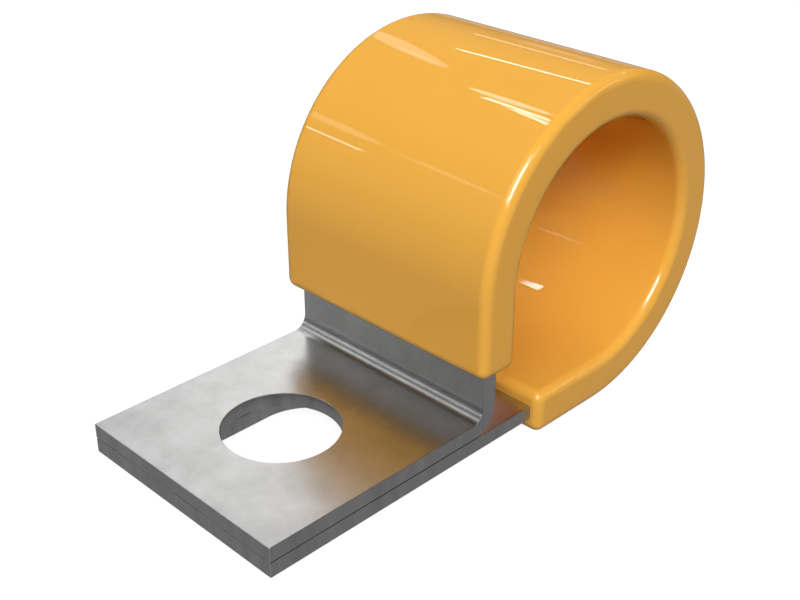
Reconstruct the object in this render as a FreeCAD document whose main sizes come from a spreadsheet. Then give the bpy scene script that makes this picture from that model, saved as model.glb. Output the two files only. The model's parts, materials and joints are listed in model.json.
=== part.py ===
# P clip: a folded steel band with a moulded cushion round its loop.
# The loop's axis runs along Y through the origin. The two fixing tabs lie flat, one on the
# other, on the -X side, with their underside below the loop. +Z is up. Sizes are millimetres.

import FreeCAD, Part
import math
import os
import re
import PartDesign
import Sketcher

# Driving dimensions: name, value and what it measures
SIZES = [
    ("bore_dia", 20.2, "inside diameter of the cushioned loop"),
    ("band_width", 20.0, "width of the steel band, along the loop's axis"),
    ("plate", 1.2, "thickness of the steel band"),
    ("bend_radius", 1.2, "inside radius of the bend at the foot of the neck"),
    ("seam_gap", 0.05, "air between the two tabs as they lie on each other"),
    ("hole_dia", 9.0, "round fixing hole in the upper tab, for an M8 bolt"),
    ("slot_length", 13.7, "overall length of the slot in the lower tab"),
    ("slot_width", 9.0, "width of the slot in the lower tab"),
    ("end_to_hole", 9.5, "free end of the tabs to the centre of the fixing hole"),
    ("hole_to_neck", 11.1, "centre of the fixing hole to the outer face of the neck"),
    ("wall", 1.2, "cushion over each face of the band"),
    ("lip", 0.85, "cushion over each edge of the band"),
    ("edge_round", 0.8, "rounding of the cushion's outer edges"),
    ("fit", 0.03, "air between the band and its slot in the cushion"),
    ("neck_bare", 3.95, "bare neck between the upper tab and the cushion's upper end"),
    ("throat_bare", 4.2, "bare lower tab between the neck and the cushion's lower end"),
]

# Places worked out from them: radii about the loop's axis, depths below it (-Z) and reaches
# to the tab side of it (-X)
PLACES = [
    ("band_inner", "bore_dia / 2 + wall", "inside radius of the band's loop"),
    ("band_outer", "band_inner + plate", "outside radius of the band's loop, and the neck's reach"),
    ("cushion_outer", "band_outer + wall", "outside radius of the cushion"),
    ("upper_tab_underside", "band_outer - plate - seam_gap", "depth of the upper tab's underside"),
    ("upper_tab_top", "upper_tab_underside - plate", "depth of the upper tab's top"),
    ("seam", "band_outer - plate - seam_gap / 2", "depth of the middle of the seam"),
    ("bend_depth", "upper_tab_top - bend_radius", "depth of the bend's centre"),
    ("bend_reach", "band_outer + bend_radius", "reach of the bend's centre"),
    ("hole_reach", "band_outer + hole_to_neck", "reach of the fixing hole"),
    ("tab_reach", "hole_reach + end_to_hole", "reach of the tabs' free end"),
    ("cushion_depth", "upper_tab_top - neck_bare", "depth of the cushion's upper end"),
    ("cushion_reach", "band_inner - throat_bare", "reach of the cushion's lower end"),
]

doc = FreeCAD.newDocument("p_clip")
sheet = doc.addObject("Spreadsheet::Sheet", "Sizes")
for row, (name, content, note) in enumerate(SIZES + PLACES, start=1):
    is_place = (name, content, note) in PLACES
    sheet.set("A%d" % row, name)
    sheet.set("B%d" % row, "=" + content if is_place else str(content))
    sheet.set("C%d" % row, note)
    sheet.setAlias("B%d" % row, name)
doc.recompute()


def bound(formula):
    """The formula with each size's name as a reference to its cell."""
    return re.sub(r"[a-z]\w*", lambda word: "Sizes." + word.group(), formula)


def value(formula):
    """The formula's present value, in millimetres."""
    return float(sheet.evalExpression(bound(formula)))


# Numbers by which a sketch constraint names a point of a piece, and the sketch's own origin
# and X axis
START, END, CENTRE = 1, 2, 3
ORIGIN = X_AXIS = -1


class Profile:
    """A closed outline in a sketch of its own, drawn and dimensioned from the sizes."""

    def __init__(self, body, name, role):
        plane = [item for item in body.Origin.OriginFeatures if item.Role == role][0]
        self.sketch = body.newObject("Sketcher::SketchObject", name)
        self.sketch.AttachmentSupport = [(plane, "")]
        self.sketch.MapMode = "FlatFace"

    def constrain(self, kind, *arguments):
        return self.sketch.addConstraint(Sketcher.Constraint(kind, *arguments))

    def dimension(self, kind, *arguments):
        """A dimension that follows the formula given last."""
        formula = arguments[-1]
        index = self.constrain(kind, *arguments[:-1], value(formula))
        self.sketch.setExpression("Constraints[%d]" % index, bound(formula))

    def line(self, start, end):
        ends = [FreeCAD.Vector(value(x), value(y), 0) for x, y in (start, end)]
        return self.sketch.addGeometry(Part.LineSegment(*ends))

    def arc(self, centre, radius, first, last):
        """An arc that runs counter-clockwise from one angle to the other, in degrees."""
        middle = FreeCAD.Vector(value(centre[0]), value(centre[1]), 0)
        circle = Part.Circle(middle, FreeCAD.Vector(0, 0, 1), value(radius))
        curve = Part.ArcOfCircle(circle, math.radians(first), math.radians(last))
        return self.sketch.addGeometry(curve)

    def corner(self, first, second):
        """Joins the end of one piece to the start of the next at a sharp corner."""
        self.constrain("Coincident", first, END, second, START)

    def smooth(self, first, first_end, second, second_end):
        """Joins two pieces at a point where they run on without a corner."""
        self.constrain("Tangent", first, first_end, second, second_end)

    def centre_on_axis(self, curve):
        self.constrain("Coincident", curve, CENTRE, ORIGIN, START)

    def reach(self, piece, end, formula):
        """How far a point lies to the tab side of the loop's axis."""
        self.dimension("DistanceX", piece, end, ORIGIN, START, formula)

    def depth(self, piece, end, formula):
        """How far a point lies below the loop's axis."""
        self.dimension("DistanceY", piece, end, ORIGIN, START, formula)


def new_body(label):
    body = doc.addObject("PartDesign::Body", label)
    body.Label = label
    body.Placement = FreeCAD.Placement()
    return body


def pad(body, name, profile, width):
    """The outline given its width, half to each side of the middle plane."""
    feature = body.newObject("PartDesign::Pad", name)
    feature.Profile = profile.sketch
    feature.Midplane = True
    feature.setExpression("Length", bound(width))
    doc.recompute()
    return feature


def pocket(body, name, profile, length, midplane=False, upwards=False):
    """The outline cut out of the body, to both sides of its sketch, up from it or down."""
    feature = body.newObject("PartDesign::Pocket", name)
    feature.Profile = profile.sketch
    feature.Midplane = midplane
    feature.Reversed = upwards
    feature.setExpression("Length", bound(length))
    doc.recompute()
    return feature


# The band: one strip, bent round the loop with both ends laid together as tabs. Its outline
# starts at the free end of the lower tab and goes once round the strip.
band = new_body("band")

side = Profile(band, "StripOutline", "XZ_Plane")
underside = side.line(("-tab_reach", "-band_outer"), ("0", "-band_outer"))
loop_outside = side.arc(("0", "0"), "band_outer", -90, 180)
neck_outside = side.line(("-band_outer", "0"), ("-band_outer", "-bend_depth"))
bend_inside = side.arc(("-bend_reach", "-bend_depth"), "bend_radius", -90, 0)
upper_top = side.line(("-bend_reach", "-upper_tab_top"), ("-tab_reach", "-upper_tab_top"))
upper_tip = side.line(("-tab_reach", "-upper_tab_top"), ("-tab_reach", "-upper_tab_underside"))
seam_face = side.line(("-tab_reach", "-upper_tab_underside"), ("-bend_reach", "-upper_tab_underside"))
bend_outside = side.arc(("-bend_reach", "-bend_depth"), "bend_radius + plate", -90, 0)
neck_inside = side.line(("-band_inner", "-bend_depth"), ("-band_inner", "0"))
loop_inside = side.arc(("0", "0"), "band_inner", -90, 180)
lower_top = side.line(("0", "-band_inner"), ("-tab_reach", "-band_inner"))
lower_tip = side.line(("-tab_reach", "-band_inner"), ("-tab_reach", "-band_outer"))
for level in (underside, upper_top, seam_face, lower_top):
    side.constrain("Horizontal", level)
for upright in (neck_outside, upper_tip, neck_inside, lower_tip):
    side.constrain("Vertical", upright)
side.smooth(underside, END, loop_outside, START)
side.smooth(loop_outside, END, neck_outside, START)
side.smooth(neck_outside, END, bend_inside, END)
side.smooth(bend_inside, START, upper_top, START)
side.corner(upper_top, upper_tip)
side.corner(upper_tip, seam_face)
side.smooth(seam_face, END, bend_outside, START)
side.smooth(bend_outside, END, neck_inside, START)
side.smooth(neck_inside, END, loop_inside, END)
side.smooth(loop_inside, START, lower_top, START)
side.corner(lower_top, lower_tip)
side.corner(lower_tip, underside)
side.centre_on_axis(loop_outside)
side.centre_on_axis(loop_inside)
side.constrain("Coincident", bend_outside, CENTRE, bend_inside, CENTRE)
side.dimension("Radius", loop_outside, "band_outer")
side.dimension("Radius", loop_inside, "band_inner")
side.dimension("Radius", bend_inside, "bend_radius")
side.depth(upper_top, START, "upper_tab_top")
side.reach(upper_tip, START, "tab_reach")
side.reach(lower_tip, START, "tab_reach")
strip = pad(band, "Strip", side, "band_width")


def on_seam(profile):
    """Lifts a sketch to the middle of the seam between the two tabs."""
    profile.sketch.setExpression("AttachmentOffset.Base.z", bound("-seam"))


# The round hole goes up from the seam through the upper tab, and the slot goes down through
# the lower one, so that a bolt in the hole can still slide as the loop is drawn tight.
round_hole = Profile(band, "HoleOutline", "XY_Plane")
on_seam(round_hole)
centre = FreeCAD.Vector(value("-hole_reach"), 0, 0)
rim = round_hole.sketch.addGeometry(Part.Circle(centre, FreeCAD.Vector(0, 0, 1), value("hole_dia / 2")))
round_hole.constrain("PointOnObject", rim, CENTRE, X_AXIS)
round_hole.reach(rim, CENTRE, "hole_reach")
round_hole.dimension("Diameter", rim, "hole_dia")
hole = pocket(band, "FixingHole", round_hole, "plate + seam_gap", upwards=True)

long_hole = Profile(band, "SlotOutline", "XY_Plane")
on_seam(long_hole)
outer_centre = "-hole_reach - (slot_length - slot_width) / 2"
inner_centre = "-hole_reach + (slot_length - slot_width) / 2"
outer_arc = long_hole.arc((outer_centre, "0"), "slot_width / 2", 90, 270)
near_edge = long_hole.line((outer_centre, "-slot_width / 2"), (inner_centre, "-slot_width / 2"))
inner_arc = long_hole.arc((inner_centre, "0"), "slot_width / 2", -90, 90)
far_edge = long_hole.line((inner_centre, "slot_width / 2"), (outer_centre, "slot_width / 2"))
long_hole.smooth(outer_arc, END, near_edge, START)
long_hole.smooth(near_edge, END, inner_arc, START)
long_hole.smooth(inner_arc, END, far_edge, START)
long_hole.smooth(far_edge, END, outer_arc, START)
long_hole.constrain("Horizontal", near_edge)
long_hole.constrain("PointOnObject", outer_arc, CENTRE, X_AXIS)
long_hole.constrain("PointOnObject", inner_arc, CENTRE, X_AXIS)
long_hole.dimension("Diameter", outer_arc, "slot_width")
long_hole.reach(outer_arc, CENTRE, "hole_reach + (slot_length - slot_width) / 2")
long_hole.reach(inner_arc, CENTRE, "hole_reach - (slot_length - slot_width) / 2")
slot = pocket(band, "TabSlot", long_hole, "plate + seam_gap")


def loop_outline(body, name, outside, inside, depth, reach):
    """The outline of a layer round the loop, with a straight run into the neck and into the
    lower tab: its two radii, and where its upper and lower ends lie."""
    layer = Profile(body, name, "XZ_Plane")
    bottom = layer.line(("-" + reach, "-" + outside), ("0", "-" + outside))
    outer_curve = layer.arc(("0", "0"), outside, -90, 180)
    back = layer.line(("-" + outside, "0"), ("-" + outside, "-" + depth))
    upper_end = layer.line(("-" + outside, "-" + depth), ("-" + inside, "-" + depth))
    front = layer.line(("-" + inside, "-" + depth), ("-" + inside, "0"))
    inner_curve = layer.arc(("0", "0"), inside, -90, 180)
    floor = layer.line(("0", "-" + inside), ("-" + reach, "-" + inside))
    lower_end = layer.line(("-" + reach, "-" + inside), ("-" + reach, "-" + outside))
    for level in (bottom, upper_end, floor):
        layer.constrain("Horizontal", level)
    for upright in (back, front, lower_end):
        layer.constrain("Vertical", upright)
    layer.smooth(bottom, END, outer_curve, START)
    layer.smooth(outer_curve, END, back, START)
    layer.corner(back, upper_end)
    layer.corner(upper_end, front)
    layer.smooth(front, END, inner_curve, END)
    layer.smooth(inner_curve, START, floor, START)
    layer.corner(floor, lower_end)
    layer.corner(lower_end, bottom)
    layer.centre_on_axis(outer_curve)
    layer.centre_on_axis(inner_curve)
    layer.dimension("Radius", outer_curve, outside)
    layer.dimension("Radius", inner_curve, inside)
    layer.depth(upper_end, START, depth)
    layer.reach(lower_end, START, reach)
    return layer


def sharp_edges(shape):
    """Names of the edges where two faces meet at a corner, not where one runs into the next."""
    names = []
    for number, edge in enumerate(shape.Edges, start=1):
        middle = edge.valueAt((edge.FirstParameter + edge.LastParameter) / 2)
        normals = []
        for face in shape.ancestorsOfType(edge, Part.Face):
            normals.append(face.normalAt(*face.Surface.parameter(middle)))
        if normals[0].getAngle(normals[1]) > math.radians(45):
            names.append("Edge%d" % number)
    return names


# The cushion: one moulding that wraps the strip round the loop, rounded on every outer edge.
# The strip lies in a slot through it, which opens at both ends.
cushion = new_body("cushion")

skin = loop_outline(cushion, "CushionOutline", "cushion_outer", "bore_dia / 2", "cushion_depth", "cushion_reach")
moulding = pad(cushion, "Moulding", skin, "band_width + 2 * lip")

rounding = cushion.newObject("PartDesign::Fillet", "Rounding")
rounding.Base = (moulding, sharp_edges(moulding.Shape))
rounding.setExpression("Radius", bound("edge_round"))
doc.recompute()

# The slot's outline runs past both ends of the cushion, so that it opens there
space = loop_outline(
    cushion,
    "SlotOutline",
    "band_outer + fit",
    "band_inner - fit",
    "cushion_depth + plate",
    "cushion_reach + plate",
)
channel = pocket(cushion, "StripSlot", space, "band_width + 2 * fit", midplane=True)

doc.recompute()

# Nothing is written unless every object is sound and every cut has taken something away
for item in doc.Objects:
    if "Invalid" in item.State or "Error" in item.State:
        raise RuntimeError("%s failed: %s" % (item.Name, item.State))
for cut in (hole, slot, channel):
    if cut.Shape.Volume >= cut.BaseFeature.Shape.Volume:
        raise RuntimeError("%s cut nothing" % cut.Name)
os.makedirs("parts", exist_ok=True)
for body in (band, cushion):
    if body.Shape.isNull() or not body.Shape.isValid() or len(body.Shape.Solids) != 1:
        raise RuntimeError("%s isn't one sound solid" % body.Label)
    body.Shape.exportStep("parts/%s.step" % body.Label)
    print("%s: %.1f mm3" % (body.Label, body.Shape.Volume))
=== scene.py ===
# A cushioned P clip: a folded steel band with an orange moulded cushion round its loop.
# Metres. +X runs from the fixing tabs to the loop, +Y along the loop's axis, +Z up.

import json
import math
import bpy
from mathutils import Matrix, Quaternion, Vector


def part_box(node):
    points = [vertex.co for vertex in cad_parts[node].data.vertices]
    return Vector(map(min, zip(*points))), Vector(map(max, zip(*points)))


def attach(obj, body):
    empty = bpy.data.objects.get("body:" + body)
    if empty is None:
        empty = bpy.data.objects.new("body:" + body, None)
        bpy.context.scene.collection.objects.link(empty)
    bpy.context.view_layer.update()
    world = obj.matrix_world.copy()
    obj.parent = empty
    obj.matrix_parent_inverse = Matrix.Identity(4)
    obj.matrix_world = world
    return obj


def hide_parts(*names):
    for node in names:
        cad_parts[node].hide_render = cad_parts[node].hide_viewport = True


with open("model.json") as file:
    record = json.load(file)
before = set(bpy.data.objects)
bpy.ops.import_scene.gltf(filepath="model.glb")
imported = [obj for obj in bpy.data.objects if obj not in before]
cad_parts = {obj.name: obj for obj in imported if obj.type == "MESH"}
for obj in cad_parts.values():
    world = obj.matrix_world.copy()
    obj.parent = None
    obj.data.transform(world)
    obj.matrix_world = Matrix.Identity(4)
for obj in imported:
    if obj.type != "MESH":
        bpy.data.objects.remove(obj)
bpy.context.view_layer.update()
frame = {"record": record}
mounts = {mount["name"]: mount for mount in frame["record"]["mounts"]}

# The band is one strip of plain cold-rolled steel, sheared to width. It is punched, then
# folded into a loop with both ends laid together as fixing tabs. The upper tab has a round
# hole and the lower one a slot. A bolt through both draws the loop tight.

MM = 0.001
plate = mounts["fixing_hole"]["dims"]["length_mm"] * MM
band_low, band_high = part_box("band")
band_width = band_high.y - band_low.y
band_middle = band_high.x - plate / 2
tab_tip = band_low.x
seam_gap = 0.05 * MM
bend_radius = 1.2 * MM
hole_centre = Vector(mounts["fixing_hole"]["pos_m"])
hole_radius = mounts["fixing_hole"]["dims"]["r_mm"] * MM
slot_length = 13.7 * MM
edge_softness = 0.05 * MM
sharp_edge = math.radians(40)
faces_along = 0.95
faces_across = 0.1
upper_tab = -band_middle + plate + seam_gap
QUARTER_HANDLE = 0.5523


def path_along_strip(name, corners):
    """A curve through the middle of the strip. Each corner is (x, z, handle before, handle
    after), and a handle of None is a straight run."""
    curve = bpy.data.curves.new(name, "CURVE")
    curve.dimensions = "3D"
    curve.resolution_u = 40
    spline = curve.splines.new("BEZIER")
    spline.bezier_points.add(len(corners) - 1)
    for point, (x, z, before, after) in zip(spline.bezier_points, corners):
        point.co = (x, 0, z)
        point.handle_left_type = "FREE" if before else "VECTOR"
        point.handle_right_type = "FREE" if after else "VECTOR"
        point.handle_left = (x + before[0], 0, z + before[1]) if before else point.co
        point.handle_right = (x + after[0], 0, z + after[1]) if after else point.co
    path = bpy.data.objects.new(name, curve)
    bpy.context.scene.collection.objects.link(path)
    return path


def loop_run(start, end):
    """The stretch of path from a point on the neck, round the loop to one on the lower tab."""
    r = band_middle
    h = r * QUARTER_HANDLE
    return [
        (-r, start, None, None),
        (-r, 0, None, (0, h)),
        (0, r, (-h, 0), (h, 0)),
        (r, 0, (0, h), (0, -h)),
        (0, -r, (h, 0), None),
        (end, -r, None, None),
    ]


def new_tree(name, inputs):
    """A node tree that takes a curve and these named inputs and gives back a mesh."""
    tree = bpy.data.node_groups.new(name, "GeometryNodeTree")
    tree.interface.new_socket("Path", in_out="INPUT", socket_type="NodeSocketGeometry")
    tree.interface.new_socket("Mesh", in_out="OUTPUT", socket_type="NodeSocketGeometry")
    for label, kind in inputs:
        tree.interface.new_socket(label, in_out="INPUT", socket_type="NodeSocket" + kind)
    source = tree.nodes.new("NodeGroupInput")
    return tree, source.outputs


def node(tree, kind, settings=None, output=0, **inputs):
    """A node of the tree, with each input linked to a socket or set to a value."""
    made = tree.nodes.new(kind)
    for name, value in (settings or {}).items():
        setattr(made, name, value)
    for name, value in inputs.items():
        socket = made.inputs[name.replace("_", " ")]
        if isinstance(value, bpy.types.NodeSocket):
            tree.links.new(value, socket)
        else:
            socket.default_value = value
    return made.outputs[output]


def close_tree(tree, mesh, material):
    """Ends the tree in Realize Instances and Set Material."""
    real = node(tree, "GeometryNodeRealizeInstances", Geometry=mesh)
    finished = node(tree, "GeometryNodeSetMaterial", Geometry=real, Material=material)
    tree.links.new(finished, tree.nodes.new("NodeGroupOutput").inputs[0])


def swept(tree, path, width, thickness):
    """The strip of this width and thickness that follows the path, with closed ends."""
    upright = node(
        tree, "GeometryNodeSetCurveNormal", {"mode": "FREE"}, Curve=path, Normal=(0, 1, 0)
    )
    section = node(tree, "GeometryNodeCurvePrimitiveQuadrilateral", Width=width, Height=thickness)
    return node(
        tree, "GeometryNodeCurveToMesh", Curve=upright, Profile_Curve=section, Fill_Caps=True
    )


def made_by_nodes(path, tree, name, values):
    """The plain mesh object that the tree makes of the path."""
    modifier = path.modifiers.new(name, "NODES")
    modifier.node_group = tree
    for item in tree.interface.items_tree:
        if item.name in values:
            modifier[item.identifier] = values[item.name]
    return plain_copy(path, name)


def plain_copy(source, name):
    """What the object looks like with its modifiers, as a mesh of its own, and the old gone."""
    evaluated = source.evaluated_get(bpy.context.evaluated_depsgraph_get())
    mesh = bpy.data.meshes.new_from_object(evaluated)
    bpy.data.objects.remove(source)
    mesh.name = name
    made = bpy.data.objects.new(name, mesh)
    bpy.context.scene.collection.objects.link(made)
    return made


def new_material(name):
    """An empty material, and its tree and the output that takes the surface."""
    material = bpy.data.materials.new(name)
    material.use_nodes = True
    material.node_tree.nodes.clear()
    end = material.node_tree.nodes.new("ShaderNodeOutputMaterial")
    return material, material.node_tree, end.inputs["Surface"]


def spread(tree, value, low, high, first, last):
    """The value from low to high, spread over first to last."""
    return node(
        tree,
        "ShaderNodeMapRange",
        Value=value,
        From_Min=low,
        From_Max=high,
        To_Min=first,
        To_Max=last,
    )


steel, paint, surface = new_material("cold_rolled_steel")
place = node(paint, "ShaderNodeTexCoord", output="Object")
cloud = node(
    paint, "ShaderNodeTexNoise", Vector=place, Scale=380, Detail=9, Roughness=0.72, Distortion=0.3
)
wave = node(paint, "ShaderNodeTexNoise", Vector=place, Scale=110, Detail=1.5, Roughness=0.4)
along_strip = node(paint, "ShaderNodeMapping", Vector=place, Scale=(250, 3000, 250))
grain = node(paint, "ShaderNodeTexNoise", Vector=along_strip, Scale=1, Detail=3, Roughness=0.6)
along_cut = node(paint, "ShaderNodeMapping", Vector=place, Scale=(700, 700, 80))
streaks = node(paint, "ShaderNodeTexNoise", Vector=along_cut, Scale=1, Detail=3, Roughness=0.6)
# The sheared and punched faces are rougher and take a darker tone. The darker tone is partly the
# real dull cut and partly painted shade, standing in for the dark surroundings these faces
# mirror.
sheared_and_shaded = node(paint, "ShaderNodeAttribute", {"attribute_name": "sheared_and_shaded"}, output="Fac")
punched = node(paint, "ShaderNodeAttribute", {"attribute_name": "punched"}, output="Fac")
rolled_tone = node(
    paint,
    "ShaderNodeMixRGB",
    Fac=spread(paint, cloud, 0.35, 0.65, 0, 1),
    Color1=(0.475, 0.475, 0.471, 1),
    Color2=(0.575, 0.575, 0.571, 1),
)
streak_tone_and_shade = node(
    paint,
    "ShaderNodeMixRGB",
    Fac=punched,
    Color1=(0.45, 0.45, 0.452, 1),
    Color2=(0.54, 0.54, 0.54, 1),
)
cut_tone_and_shade = node(
    paint,
    "ShaderNodeMixRGB",
    Fac=spread(paint, streaks, 0.35, 0.65, 0, 1),
    Color1=(0.37, 0.37, 0.372, 1),
    Color2=streak_tone_and_shade,
)
tone = node(paint, "ShaderNodeMixRGB", Fac=sheared_and_shaded, Color1=rolled_tone, Color2=cut_tone_and_shade)
dull = node(
    paint,
    "ShaderNodeMix",
    Factor=sheared_and_shaded,
    A=spread(paint, cloud, 0.3, 0.7, 0.3, 0.276),
    B=0.36,
)
waves = node(paint, "ShaderNodeBump", Strength=1.0, Distance=0.00002, Height=wave)
relief = node(
    paint, "ShaderNodeBump", Strength=1.0, Distance=0.000001, Height=grain, Normal=waves
)
metal = node(
    paint,
    "ShaderNodeBsdfPrincipled",
    Base_Color=tone,
    Metallic=1.0,
    Roughness=dull,
    Normal=relief,
)
paint.links.new(metal, surface)

tree, given = new_tree(
    "folded_strip",
    [
        ("Width", "Float"),
        ("Thickness", "Float"),
        ("Hole Radius", "Float"),
        ("Hole Place", "Vector"),
        ("Slot End 1", "Vector"),
        ("Slot End 2", "Vector"),
        ("Steel", "Material"),
    ],
)
strip = swept(tree, given["Path"], given["Width"], given["Thickness"])
punch = node(
    tree,
    "GeometryNodeMeshCylinder",
    Vertices=144,
    Radius=given["Hole Radius"],
    Depth=plate + seam_gap,
)
hole = node(tree, "GeometryNodeTransform", Geometry=punch, Translation=given["Hole Place"])
slot_ends = [
    node(tree, "GeometryNodeTransform", Geometry=punch, Translation=given[label])
    for label in ("Slot End 1", "Slot End 2")
]
joined = tree.nodes.new("GeometryNodeJoinGeometry")
for end in slot_ends:
    tree.links.new(end, joined.inputs[0])
slot = node(tree, "GeometryNodeConvexHull", Geometry=joined.outputs[0])
cut = tree.nodes.new("GeometryNodeMeshBoolean")
cut.operation = "DIFFERENCE"
cut.solver = "EXACT"
tree.links.new(strip, cut.inputs["Mesh 1"])
for tool in (hole, slot):
    tree.links.new(tool, cut.inputs["Mesh 2"])
close_tree(tree, cut.outputs[0], given["Steel"])

bend_middle = bend_radius + plate / 2
bend_handle = bend_middle * QUARTER_HANDLE
foot = [
    (tab_tip, upper_tab, None, None),
    (-band_middle - bend_middle, upper_tab, None, (bend_handle, 0)),
    (-band_middle, upper_tab + bend_middle, (0, -bend_handle), None),
]
route = foot + loop_run(0, tab_tip)[1:]
seam = upper_tab - (plate + seam_gap) / 2
slot_half = slot_length / 2 - hole_radius
band = made_by_nodes(
    path_along_strip("band_path", route),
    tree,
    "steel_band",
    {
        "Width": band_width,
        "Thickness": plate,
        "Hole Radius": hole_radius,
        "Hole Place": (hole_centre.x, 0, seam + (plate + seam_gap) / 2),
        "Slot End 1": (hole_centre.x - slot_half, 0, seam - (plate + seam_gap) / 2),
        "Slot End 2": (hole_centre.x + slot_half, 0, seam - (plate + seam_gap) / 2),
        "Steel": steel,
    },
)
softening = band.modifiers.new("softened_edges", "BEVEL")
softening.width = edge_softness
softening.segments = 2
softening.limit_method = "ANGLE"
softening.angle_limit = sharp_edge
softening.use_clamp_overlap = False
weighting = band.modifiers.new("flat_faces_stay_flat", "WEIGHTED_NORMAL")
weighting.keep_sharp = True
for face in band.data.polygons:
    face.use_smooth = True
band = plain_copy(band, "steel_band")
# The sheared sides, the sheared tip and the punched hole wall are marked here. They take the
# darker tone, which is partly painted shade.
sheared_and_shaded_faces = band.data.attributes.new("sheared_and_shaded", "FLOAT", "FACE")
punched_faces = band.data.attributes.new("punched", "FLOAT", "FACE")
for face in band.data.polygons:
    side_cut = abs(face.normal.y) > faces_along
    at_tip = face.center.x < tab_tip + edge_softness
    end_cut = at_tip and face.normal.x < -faces_along
    from_hole = Vector((face.center.x - hole_centre.x, face.center.y))
    near_hole = from_hole.length < slot_length / 2 + edge_softness
    in_hole = near_hole and abs(face.normal.z) < faces_across
    sheared_and_shaded_faces.data[face.index].value = 1.0 if side_cut or end_cut or in_hole else 0.0
    punched_faces.data[face.index].value = 1.0 if in_hole else 0.0
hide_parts("band")
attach(band, "root")

# The cushion is one moulding of glossy orange-yellow plastic. It wraps the strip on both
# faces and both edges, all round the loop, and its outer edges are rounded. The strip
# leaves it through a slot in each end.

cushion_low, cushion_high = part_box("cushion")
bore_radius = mounts["loop"]["dims"]["r_mm"] * MM
cushion_width = cushion_high.y - cushion_low.y
cushion_thickness = cushion_high.x - bore_radius
upper_end = -6.1 * MM
lower_end = -7.1 * MM
cushion_round = 0.8 * MM
slot_fit = 0.005 * MM
slot_runout = 1.0 * MM

orange, paint, surface = new_material("orange_plastic")
place = node(paint, "ShaderNodeTexCoord", output="Object")
drift = node(paint, "ShaderNodeTexNoise", Vector=place, Scale=90, Detail=3, Roughness=0.5)
speck = node(paint, "ShaderNodeTexNoise", Vector=place, Scale=900, Detail=4, Roughness=0.6)
tone = node(
    paint,
    "ShaderNodeMixRGB",
    Fac=spread(paint, drift, 0.3, 0.7, 0, 1),
    Color1=(0.968, 0.484, 0.070, 1),
    Color2=(0.980, 0.492, 0.073, 1),
)
bump = node(paint, "ShaderNodeBump", Strength=0.005, Distance=0.00001, Height=speck)
plastic = node(
    paint,
    "ShaderNodeBsdfPrincipled",
    Base_Color=tone,
    Roughness=spread(paint, speck, 0.3, 0.7, 0.015, 0.03),
    IOR=1.4,
    Normal=bump,
)
paint.links.new(plastic, surface)

tree, given = new_tree(
    "layer_round_loop", [("Width", "Float"), ("Thickness", "Float"), ("Plastic", "Material")]
)
close_tree(tree, swept(tree, given["Path"], given["Width"], given["Thickness"]), given["Plastic"])
cushion = made_by_nodes(
    path_along_strip("cushion_path", loop_run(upper_end, lower_end)),
    tree,
    "cushion_blank",
    {"Width": cushion_width, "Thickness": cushion_thickness, "Plastic": orange},
)
channel = made_by_nodes(
    path_along_strip("slot_path", loop_run(upper_end - slot_runout, lower_end - slot_runout)),
    tree,
    "strip_slot",
    {"Width": band_width + 2 * slot_fit, "Thickness": plate + 2 * slot_fit, "Plastic": orange},
)
rounding = cushion.modifiers.new("rounded_edges", "BEVEL")
rounding.width = cushion_round
rounding.segments = 10
rounding.limit_method = "ANGLE"
rounding.angle_limit = sharp_edge
rounding.use_clamp_overlap = False
opening = cushion.modifiers.new("strip_slot", "BOOLEAN")
opening.operation = "DIFFERENCE"
opening.solver = "EXACT"
opening.object = channel
for face in cushion.data.polygons:
    face.use_smooth = True
cushion = plain_copy(cushion, "cushion_with_slot")
cushion.data.set_sharp_from_angle(angle=sharp_edge)
weighting = cushion.modifiers.new("flat_faces_stay_flat", "WEIGHTED_NORMAL")
weighting.keep_sharp = True
cushion = plain_copy(cushion, "orange_cushion")
bpy.data.objects.remove(channel)
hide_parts("cushion")
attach(cushion, "root")

# The floor is a plain pale sheet that the clip rests on. The camera sees it as white, with a
# faint shadow. Reflections show it weaker, and it throws little light back on the clip.

floor_mesh = bpy.data.meshes.new("floor")
reach = 3.0
floor_height = cushion_low.z
floor_in_reflections = 0.28
corners = [(-reach, -reach), (reach, -reach), (reach, reach), (-reach, reach)]
floor_mesh.from_pydata([(x, y, floor_height) for x, y in corners], [], [(0, 1, 2, 3)])
floor = bpy.data.objects.new("floor", floor_mesh)
bpy.context.scene.collection.objects.link(floor)
paper, paint, surface = new_material("pale_floor")
rays = node(paint, "ShaderNodeLightPath").node.outputs
in_gloss = node(paint, "ShaderNodeMath", {"operation": "MULTIPLY"})
paint.links.new(rays["Is Glossy Ray"], in_gloss.node.inputs[0])
in_gloss.node.inputs[1].default_value = floor_in_reflections
seen = node(paint, "ShaderNodeMath", {"operation": "MAXIMUM"})
paint.links.new(rays["Is Camera Ray"], seen.node.inputs[0])
paint.links.new(rays["Is Transmission Ray"], seen.node.inputs[1])
shown = node(paint, "ShaderNodeMath", {"operation": "MAXIMUM"})
paint.links.new(seen, shown.node.inputs[0])
paint.links.new(in_gloss, shown.node.inputs[1])
white = node(paint, "ShaderNodeEmission", Color=(1, 1, 1, 1), Strength=0.9)
shaded = node(paint, "ShaderNodeBsdfDiffuse", Color=(0.22, 0.22, 0.22, 1))
lit_white = node(paint, "ShaderNodeAddShader")
paint.links.new(white, lit_white.node.inputs[0])
paint.links.new(shaded, lit_white.node.inputs[1])
bounce = node(paint, "ShaderNodeBsdfDiffuse", Color=(0.03, 0.03, 0.03, 1))
mixed = node(paint, "ShaderNodeMixShader", Fac=shown)
paint.links.new(bounce, mixed.node.inputs[1])
paint.links.new(lit_white, mixed.node.inputs[2])
paint.links.new(mixed, surface)
floor_mesh.materials.append(paper)

# The light is that of a plain studio: a dim room, and lamps and window panes on all sides.
# The camera sees the room as white. Some lamps only light matt surfaces, and others only show
# as gloss on one of the two pieces.

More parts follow.
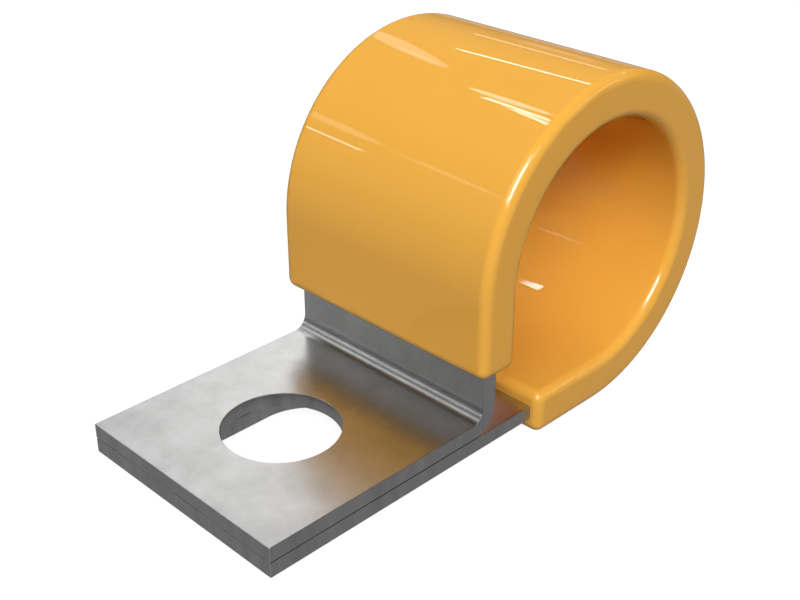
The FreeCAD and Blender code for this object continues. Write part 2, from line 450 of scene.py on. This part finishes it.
world = bpy.data.worlds.new("studio")
world.use_nodes = True
sky = world.node_tree
room = node(sky, "ShaderNodeTexCoord", output="Generated")


def toward(azimuth, elevation):
    """The direction from the clip with this azimuth and elevation, in degrees."""
    turn = math.radians(azimuth)
    lift = math.radians(elevation)
    return Vector(
        (math.sin(turn) * math.cos(lift), -math.cos(turn) * math.cos(lift), math.sin(lift))
    )


def added(tree, first, second):
    """The sum of two values."""
    total = node(tree, "ShaderNodeMath", {"operation": "ADD"})
    tree.links.new(first, total.node.inputs[0])
    tree.links.new(second, total.node.inputs[1])
    return total


def soft_glow(azimuth, elevation, reach, brightness):
    """Light from the room that is strongest in this direction and fades out this far from it."""
    closeness = node(sky, "ShaderNodeVectorMath", {"operation": "DOT_PRODUCT"}, output="Value")
    sky.links.new(room, closeness.node.inputs[0])
    closeness.node.inputs[1].default_value = toward(azimuth, elevation)
    glow = spread(sky, closeness, math.cos(math.radians(reach)), 1.0, 0.0, brightness)
    glow.node.interpolation_type = "SMOOTHSTEP"
    return glow


height = node(sky, "ShaderNodeSeparateXYZ", output="Z", Vector=room)
whole = spread(sky, height, 0.0, 0.35, 0.05, 0.01)
for azimuth, elevation, reach, brightness in (
    (155, 42, 60, 0.17),
    (-135, 15, 53, 0.04),
    (-130, 18, 18, 0.2),
):
    whole = added(sky, whole, soft_glow(azimuth, elevation, reach, brightness))
room_rays = node(sky, "ShaderNodeLightPath").node.outputs
room_seen = node(sky, "ShaderNodeMath", {"operation": "MAXIMUM"})
sky.links.new(room_rays["Is Camera Ray"], room_seen.node.inputs[0])
sky.links.new(room_rays["Is Transmission Ray"], room_seen.node.inputs[1])
room_or_white = node(sky, "ShaderNodeMath", {"operation": "MAXIMUM"})
sky.links.new(whole, room_or_white.node.inputs[0])
sky.links.new(room_seen, room_or_white.node.inputs[1])
sky.links.new(room_or_white, sky.nodes["Background"].inputs["Strength"])
sky.nodes["Background"].inputs["Color"].default_value = (1, 1, 1, 1)
bpy.context.scene.world = world
bpy.context.scene.view_settings.view_transform = "Standard"


def lamp(name, azimuth, elevation, length, width, turned, brightness, shape="RECTANGLE", only=""):
    """A lamp of this radiance and shape. It is seen from the clip in this direction, as large
    as these angles, with its long side turned this far from level. It can be for light only,
    or for the gloss of one piece only. A lamp for light only is too bright with multiple
    importance sampling, so it goes without."""
    side = toward(azimuth, elevation)
    light = bpy.data.lights.new(name, "AREA")
    light.shape = shape
    light.size = 2 * lamp_distance * math.tan(math.radians(length) / 2)
    light.size_y = 2 * lamp_distance * math.tan(math.radians(width) / 2)
    light.energy = brightness * math.pi * light.size * light.size_y
    if shape == "ELLIPSE":
        light.energy *= math.pi / 4
    made = bpy.data.objects.new(name, light)
    made.location = side * lamp_distance
    facing = side.to_track_quat("Z", "Y") @ Quaternion((0, 0, 1), math.radians(turned))
    made.rotation_euler = facing.to_euler()
    made.visible_camera = False
    made.visible_diffuse = only in ("", "light")
    made.visible_glossy = only != "light"
    light.cycles.use_multiple_importance_sampling = only != "light"
    if only in gloss_of:
        made.light_linking.receiver_collection = gloss_of[only]
    bpy.context.scene.collection.objects.link(made)
    return made


lamp_distance = 4.0
gloss_of = {}
for label, piece in (("cushion", cushion), ("steel", band)):
    gloss_of[label] = bpy.data.collections.new(label + "_gloss")
    gloss_of[label].objects.link(piece)
lamp("front_right", -25.5, 35, 20, 20, 0, 11.2, only="light")
lamp("front", -45, 40, 20, 20, 0, 5.6, only="light")
lamp("front_left", -62, 35, 20, 20, 0, 5.1, only="light")
lamp("left", -90, 40, 20, 20, 0, 3.7, only="light")
lamp("right", 0, 40, 20, 20, 0, 1.7, only="light")
lamp("above", 0, 88, 30, 30, 0, 1.2, only="light")
lamp("behind", 125, 20, 20, 20, 0, 16, only="light")
lamp("key", -57, 45, 40, 31, -21, 6.55, only="cushion")
lamp("key_shine", -55, 43, 17, 22, -10, 26, only="cushion")
lamp("strip_1", -16, 45.3, 6, 1.6, 15, 22, only="cushion")
lamp("strip_2", 11.7, 30.5, 5, 1.6, -60, 9, only="cushion")
lamp("strip_3", 41, 23.5, 34, 1.8, 0, 14, only="cushion")
lamp("strip_4", -105, 45, 25, 18, 0, 2.5, only="cushion")
lamp("strip_5", 70, 30, 16, 2, -30, 3, only="cushion")
lamp("strip_6", 95, 33, 14, 2, -10, 3, only="cushion")
lamp("sheen_wide_1", 155, 42, 96, 96, 0, 0.08, "ELLIPSE", only="steel")
lamp("sheen_wide_2", 155, 42, 72, 72, 0, 0.117, "ELLIPSE", only="steel")
lamp("sheen_1", 141, 36, 34, 34, 0, 0.51, "ELLIPSE", only="steel")
lamp("sheen_2", 140, 29, 20, 20, 0, 0.73, "ELLIPSE", only="steel")
lamp("sheen_front", -30, 35, 110, 50, 0, 0.6, "ELLIPSE", only="steel")
lamp("sheen_above", 0, 88, 56, 56, 0, 0.45, "ELLIPSE", only="steel")
lamp("sheen_left", -135, 30, 60, 34, 21, 0.08, "ELLIPSE", only="steel")
lamp("sheen_bend_1", -132, 25.5, 28, 7, 21, 1.0, only="steel")
lamp("sheen_bend_2", -155, 48.6, 28, 9, 59, 1.3, only="steel")
lamp("tube_behind", 136.6, 35.1, 7.7, 0.9, -5.4, 8.3)
lamp("pane_low_1", 152.5, 40.6, 12.5, 2.6, 54, 1.7, "ELLIPSE")
lamp("pane_low_2", 155.2, 43.0, 4.5, 0.9, 62, 1.2, "ELLIPSE")
lamp("pane_1", 167.0, 52.0, 2.6, 4.0, 8, 6, "ELLIPSE")
lamp("pane_2", 172.0, 53.2, 1.4, 3.6, -10, 13)
lamp("pane_3", 175.6, 54.3, 3.2, 1.1, 45, 12)
lamp("pane_4", 179.0, 56.9, 2.0, 1.2, 17, 19)
lamp("pane_5", 184.0, 57.1, 2.6, 1.2, 17, 19)
lamp("tube_left", -140.0, 23.65, 4.4, 0.7, 0, 10.5)
lamp("pane_left_1", -143.0, 29.7, 5.2, 2.6, -10, 1.9, "ELLIPSE")
lamp("pane_left_2", -135.2, 29.2, 5.6, 1.8, 0, 1.5, "ELLIPSE")
lamp("pane_left_3", -128.3, 28.4, 2.6, 1.4, -20, 2.4, "ELLIPSE")
lamp("tube_back_low", 128.1, 16.3, 6.3, 1.2, -3, 1.5)
lamp("pane_back_low", 126.1, 8.3, 4, 4.5, 0, 0.35, "ELLIPSE")

# The camera stands where the photograph's did, in front of the tabs and to one side, and
# looks down on them.

camera_distance = 97.77 * MM
look_at = Vector((-11.28, 0, -4.22)) * MM
back = toward(-45.0, 28.62)
lens = bpy.data.cameras.new("camera")
lens.lens = 56.96
lens.sensor_width = 36
lens.clip_start = 0.005
camera = bpy.data.objects.new("camera", lens)
camera.location = look_at + back * camera_distance
camera.rotation_euler = back.to_track_quat("Z", "Y").to_euler()
bpy.context.scene.collection.objects.link(camera)
bpy.context.scene.camera = camera
